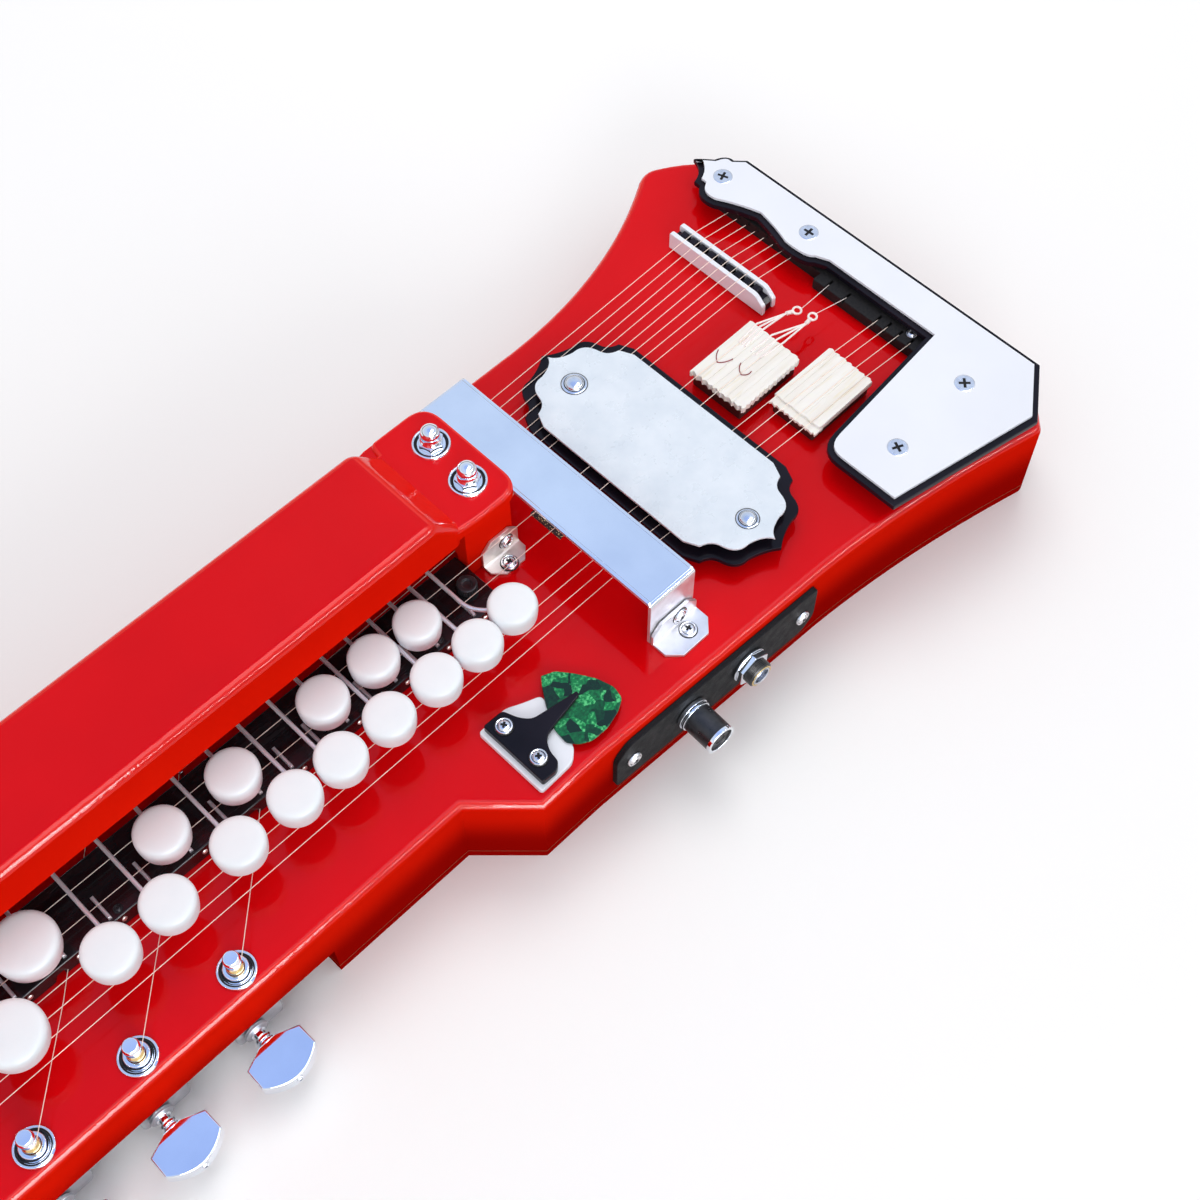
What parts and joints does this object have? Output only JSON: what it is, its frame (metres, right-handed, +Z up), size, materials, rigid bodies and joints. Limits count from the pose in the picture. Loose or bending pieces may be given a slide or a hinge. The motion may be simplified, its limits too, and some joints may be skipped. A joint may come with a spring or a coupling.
{
  "type": "bulbul tarang",
  "caption": "Box zither with two rows of round keys under a hollow cover, a fretted board, worm tuners, bridges, tail cover, hand rest and output jack.",
  "frame": {"origin": "centre of the flat underside's mount, on the floor plane", "axes": "+X along the strings towards the bridge end, +Y towards the key cover, +Z up"},
  "size_m": [0.832, 0.2074, 0.095],
  "materials": {
    "red_lacquer": "glossy red lacquer",
    "plain_board": "matt thin board",
    "black_gloss": "polished black",
    "white_gloss": "glossy white",
    "button_white": "satin white",
    "chrome": "polished",
    "steel": "plated",
    "ivory": "cream, satin",
    "pale_metal": "pale, lightly hammered",
    "dark_plate": "dark, textured",
    "green_pearl": "green pearl"
  },
  "bodies": {
    "body": {"body_shell": "red_lacquer", "bottom_board": "plain_board", "key_cover": "red_lacquer", "key_rail": "steel", "fretboard": "black_gloss", "hand_rest": "chrome", "tail_cover": "white_gloss", "tail_cover_base": "black_gloss", "tailpiece": "black_gloss", "name_plate": "pale_metal", "name_plate_base": "black_gloss", "sympathetic_bridge": "white_gloss", "melody_bridge": "ivory", "drone_bridge": "ivory", "nut": "ivory", "jack_plate": "dark_plate", "output_jack": "chrome", "pick_holder": "white_gloss", "side_tuner_plate": "steel", "head_tuner_plate": "steel"},
    "key_01": {"key_01": "button_white"},
    "key_02": {"key_02": "button_white"},
    "key_03": {"key_03": "button_white"},
    "key_04": {"key_04": "button_white"},
    "key_05": {"key_05": "button_white"},
    "key_06": {"key_06": "button_white"},
    "key_07": {"key_07": "button_white"},
    "key_08": {"key_08": "button_white"},
    "key_09": {"key_09": "button_white"},
    "key_10": {"key_10": "button_white"},
    "key_11": {"key_11": "button_white"},
    "key_12": {"key_12": "button_white"},
    "key_13": {"key_13": "button_white"},
    "key_14": {"key_14": "button_white"},
    "key_15": {"key_15": "button_white"},
    "key_16": {"key_16": "button_white"},
    "key_17": {"key_17": "button_white"},
    "key_18": {"key_18": "button_white"},
    "key_19": {"key_19": "button_white"},
    "key_20": {"key_20": "button_white"},
    "key_21": {"key_21": "button_white"},
    "key_22": {"key_22": "button_white"},
    "key_23": {"key_23": "button_white"},
    "key_24": {"key_24": "button_white"},
    "side_knob_1": {"side_knob_1": "chrome"},
    "side_knob_2": {"side_knob_2": "chrome"},
    "side_knob_3": {"side_knob_3": "chrome"},
    "side_knob_4": {"side_knob_4": "chrome"},
    "side_knob_5": {"side_knob_5": "chrome"},
    "side_knob_6": {"side_knob_6": "chrome"},
    "side_knob_7": {"side_knob_7": "chrome"},
    "side_knob_8": {"side_knob_8": "chrome"},
    "head_knob_1": {"head_knob_1": "chrome"},
    "head_knob_2": {"head_knob_2": "chrome"},
    "head_knob_3": {"head_knob_3": "chrome"},
    "head_knob_4": {"head_knob_4": "chrome"},
    "head_knob_5": {"head_knob_5": "chrome"},
    "head_knob_6": {"head_knob_6": "chrome"},
    "volume": {"volume_knob": "black_gloss"},
    "pick": {"pick": "green_pearl"}
  },
  "joints": [
    {"name": "key_01_press", "type": "hinge", "parent": "body", "child": "key_01", "pos_m": [0.1873, 0.036, 0.058], "axis": [1, 0, 0], "range_deg": [0, 5.4], "stiffness_Nm_per_rad": 0.35, "springref_deg": -6.88},
    {"name": "key_02_press", "type": "hinge", "parent": "body", "child": "key_02", "pos_m": [0.17835, 0.036, 0.058], "axis": [1, 0, 0], "range_deg": [0, 5.4], "stiffness_Nm_per_rad": 0.35, "springref_deg": -6.88},
    {"name": "key_03_press", "type": "hinge", "parent": "body", "child": "key_03", "pos_m": [0.16887, 0.036, 0.058], "axis": [1, 0, 0], "range_deg": [0, 5.4], "stiffness_Nm_per_rad": 0.35, "springref_deg": -6.88},
    {"name": "key_04_press", "type": "hinge", "parent": "body", "child": "key_04", "pos_m": [0.15885, 0.036, 0.058], "axis": [1, 0, 0], "range_deg": [0, 5.4], "stiffness_Nm_per_rad": 0.35, "springref_deg": -6.88},
    {"name": "key_05_press", "type": "hinge", "parent": "body", "child": "key_05", "pos_m": [0.14825, 0.036, 0.058], "axis": [1, 0, 0], "range_deg": [0, 5.4], "stiffness_Nm_per_rad": 0.35, "springref_deg": -6.88},
    {"name": "key_06_press", "type": "hinge", "parent": "body", "child": "key_06", "pos_m": [0.13703, 0.036, 0.058], "axis": [1, 0, 0], "range_deg": [0, 5.4], "stiffness_Nm_per_rad": 0.35, "springref_deg": -6.88},
    {"name": "key_07_press", "type": "hinge", "parent": "body", "child": "key_07", "pos_m": [0.12516, 0.036, 0.058], "axis": [1, 0, 0], "range_deg": [0, 5.4], "stiffness_Nm_per_rad": 0.35, "springref_deg": -6.88},
    {"name": "key_08_press", "type": "hinge", "parent": "body", "child": "key_08", "pos_m": [0.1126, 0.036, 0.058], "axis": [1, 0, 0], "range_deg": [0, 5.4], "stiffness_Nm_per_rad": 0.35, "springref_deg": -6.88},
    {"name": "key_09_press", "type": "hinge", "parent": "body", "child": "key_09", "pos_m": [0.0993, 0.036, 0.058], "axis": [1, 0, 0], "range_deg": [0, 5.4], "stiffness_Nm_per_rad": 0.35, "springref_deg": -6.88},
    {"name": "key_10_press", "type": "hinge", "parent": "body", "child": "key_10", "pos_m": [0.08549, 0.036, 0.058], "axis": [1, 0, 0], "range_deg": [0, 5.4], "stiffness_Nm_per_rad": 0.35, "springref_deg": -6.88},
    {"name": "key_11_press", "type": "hinge", "parent": "body", "child": "key_11", "pos_m": [0.07085, 0.036, 0.058], "axis": [1, 0, 0], "range_deg": [0, 5.4], "stiffness_Nm_per_rad": 0.35, "springref_deg": -6.88},
    {"name": "key_12_press", "type": "hinge", "parent": "body", "child": "key_12", "pos_m": [0.05533, 0.036, 0.058], "axis": [1, 0, 0], "range_deg": [0, 5.4], "stiffness_Nm_per_rad": 0.35, "springref_deg": -6.88},
    {"name": "key_13_press", "type": "hinge", "parent": "body", "child": "key_13", "pos_m": [0.0389, 0.036, 0.058], "axis": [1, 0, 0], "range_deg": [0, 5.4], "stiffness_Nm_per_rad": 0.35, "springref_deg": -6.88},
    {"name": "key_14_press", "type": "hinge", "parent": "body", "child": "key_14", "pos_m": [0.02149, 0.036, 0.058], "axis": [1, 0, 0], "range_deg": [0, 5.4], "stiffness_Nm_per_rad": 0.35, "springref_deg": -6.88},
    {"name": "key_15_press", "type": "hinge", "parent": "body", "child": "key_15", "pos_m": [0.00304, 0.036, 0.058], "axis": [1, 0, 0], "range_deg": [0, 5.4], "stiffness_Nm_per_rad": 0.35, "springref_deg": -6.88},
    {"name": "key_16_press", "type": "hinge", "parent": "body", "child": "key_16", "pos_m": [-0.0165, 0.036, 0.058], "axis": [1, 0, 0], "range_deg": [0, 5.4], "stiffness_Nm_per_rad": 0.35, "springref_deg": -6.88},
    {"name": "key_17_press", "type": "hinge", "parent": "body", "child": "key_17", "pos_m": [-0.03721, 0.036, 0.058], "axis": [1, 0, 0], "range_deg": [0, 5.4], "stiffness_Nm_per_rad": 0.35, "springref_deg": -6.88},
    {"name": "key_18_press", "type": "hinge", "parent": "body", "child": "key_18", "pos_m": [-0.05914, 0.036, 0.058], "axis": [1, 0, 0], "range_deg": [0, 5.4], "stiffness_Nm_per_rad": 0.35, "springref_deg": -6.88},
    {"name": "key_19_press", "type": "hinge", "parent": "body", "child": "key_19", "pos_m": [-0.08238, 0.036, 0.058], "axis": [1, 0, 0], "range_deg": [0, 5.4], "stiffness_Nm_per_rad": 0.35, "springref_deg": -6.88},
    {"name": "key_20_press", "type": "hinge", "parent": "body", "child": "key_20", "pos_m": [-0.107, 0.036, 0.058], "axis": [1, 0, 0], "range_deg": [0, 5.4], "stiffness_Nm_per_rad": 0.35, "springref_deg": -6.88},
    {"name": "key_21_press", "type": "hinge", "parent": "body", "child": "key_21", "pos_m": [-0.13309, 0.036, 0.058], "axis": [1, 0, 0], "range_deg": [0, 5.4], "stiffness_Nm_per_rad": 0.35, "springref_deg": -6.88},
    {"name": "key_22_press", "type": "hinge", "parent": "body", "child": "key_22", "pos_m": [-0.16073, 0.036, 0.058], "axis": [1, 0, 0], "range_deg": [0, 5.4], "stiffness_Nm_per_rad": 0.35, "springref_deg": -6.88},
    {"name": "key_23_press", "type": "hinge", "parent": "body", "child": "key_23", "pos_m": [-0.19001, 0.036, 0.058], "axis": [1, 0, 0], "range_deg": [0, 5.4], "stiffness_Nm_per_rad": 0.35, "springref_deg": -6.88},
    {"name": "key_24_press", "type": "hinge", "parent": "body", "child": "key_24", "pos_m": [-0.22103, 0.036, 0.058], "axis": [1, 0, 0], "range_deg": [0, 5.4], "stiffness_Nm_per_rad": 0.35, "springref_deg": -6.88},
    {"name": "side_knob_1_turn", "type": "hinge", "parent": "body", "child": "side_knob_1", "pos_m": [0.0394, -0.0612, 0.0115], "axis": [0, 1, 0], "continuous": true},
    {"name": "side_knob_2_turn", "type": "hinge", "parent": "body", "child": "side_knob_2", "pos_m": [-0.0011, -0.0612, 0.0115], "axis": [0, 1, 0], "continuous": true},
    {"name": "side_knob_3_turn", "type": "hinge", "parent": "body", "child": "side_knob_3", "pos_m": [-0.0416, -0.0612, 0.0115], "axis": [0, 1, 0], "continuous": true},
    {"name": "side_knob_4_turn", "type": "hinge", "parent": "body", "child": "side_knob_4", "pos_m": [-0.0821, -0.0612, 0.0115], "axis": [0, 1, 0], "continuous": true},
    {"name": "side_knob_5_turn", "type": "hinge", "parent": "body", "child": "side_knob_5", "pos_m": [-0.1226, -0.0612, 0.0115], "axis": [0, 1, 0], "continuous": true},
    {"name": "side_knob_6_turn", "type": "hinge", "parent": "body", "child": "side_knob_6", "pos_m": [-0.1631, -0.0612, 0.0115], "axis": [0, 1, 0], "continuous": true},
    {"name": "side_knob_7_turn", "type": "hinge", "parent": "body", "child": "side_knob_7", "pos_m": [-0.2036, -0.0612, 0.0115], "axis": [0, 1, 0], "continuous": true},
    {"name": "side_knob_8_turn", "type": "hinge", "parent": "body", "child": "side_knob_8", "pos_m": [-0.2441, -0.0612, 0.0115], "axis": [0, 1, 0], "continuous": true},
    {"name": "head_knob_1_turn", "type": "hinge", "parent": "body", "child": "head_knob_1", "pos_m": [-0.3768, -0.0612, 0.0115], "axis": [0, 1, 0], "continuous": true},
    {"name": "head_knob_2_turn", "type": "hinge", "parent": "body", "child": "head_knob_2", "pos_m": [-0.3363, -0.0612, 0.0115], "axis": [0, 1, 0], "continuous": true},
    {"name": "head_knob_3_turn", "type": "hinge", "parent": "body", "child": "head_knob_3", "pos_m": [-0.2958, -0.0612, 0.0115], "axis": [0, 1, 0], "continuous": true},
    {"name": "head_knob_4_turn", "type": "hinge", "parent": "body", "child": "head_knob_4", "pos_m": [-0.3768, 0.052, 0.0115], "axis": [0, 1, 0], "continuous": true},
    {"name": "head_knob_5_turn", "type": "hinge", "parent": "body", "child": "head_knob_5", "pos_m": [-0.3363, 0.052, 0.0115], "axis": [0, 1, 0], "continuous": true},
    {"name": "head_knob_6_turn", "type": "hinge", "parent": "body", "child": "head_knob_6", "pos_m": [-0.2958, 0.052, 0.0115], "axis": [0, 1, 0], "continuous": true},
    {"name": "volume_turn", "type": "hinge", "parent": "body", "child": "volume", "pos_m": [0.2273, -0.08319, 0.025], "axis": [-0.04, -0.9992, 0], "range_deg": [0, 300]},
    {"name": "pick_slide", "type": "slide", "parent": "body", "child": "pick", "axis": [1, 0, 0], "range_m": [0, 0.02]}
  ]
}
